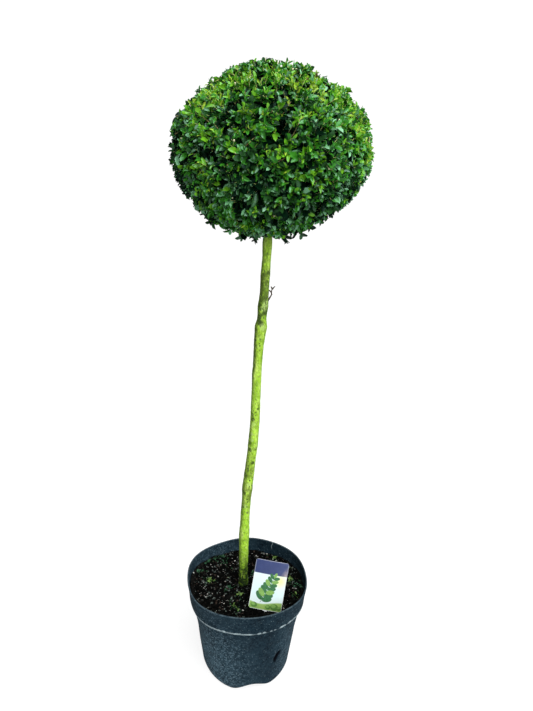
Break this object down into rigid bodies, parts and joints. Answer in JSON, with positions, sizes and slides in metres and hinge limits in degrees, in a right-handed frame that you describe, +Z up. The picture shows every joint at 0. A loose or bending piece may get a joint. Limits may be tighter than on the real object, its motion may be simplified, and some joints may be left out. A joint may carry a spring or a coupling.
{
  "type": "standard topiary",
  "caption": "Evergreen shrub trained as a standard: a clipped ball of small leaves on a tall bare stem, in a round nursery pot of compost with a plain plant label.",
  "frame": {"origin": "middle of the pot's flat underside, on the ground", "axes": "+Z up along the stem, -Y towards the side with the plant label"},
  "size_m": [0.3773, 0.3734, 1.3305],
  "materials": {
    "pot": "soft black polypropylene, dusty and scuffed, with a pale worn line at the foot of the collar",
    "soil": "dark compost with bark, white grains and a few fallen leaves",
    "stem": "smooth thin bark under a bright green film of algae, with darker flecks",
    "dead_twig": "dry grey-brown twig",
    "clipped_ball": "small glossy leaves, dark green below and yellow-green above",
    "plant_label": "printed glossy card, plain blue head over a pale panel"
  },
  "bodies": {
    "root": {"pot": "pot", "soil": "soil", "stem": "stem", "dead_twig": "dead_twig", "clipped_ball": "clipped_ball", "plant_label": "plant_label"}
  },
  "joints": []
}
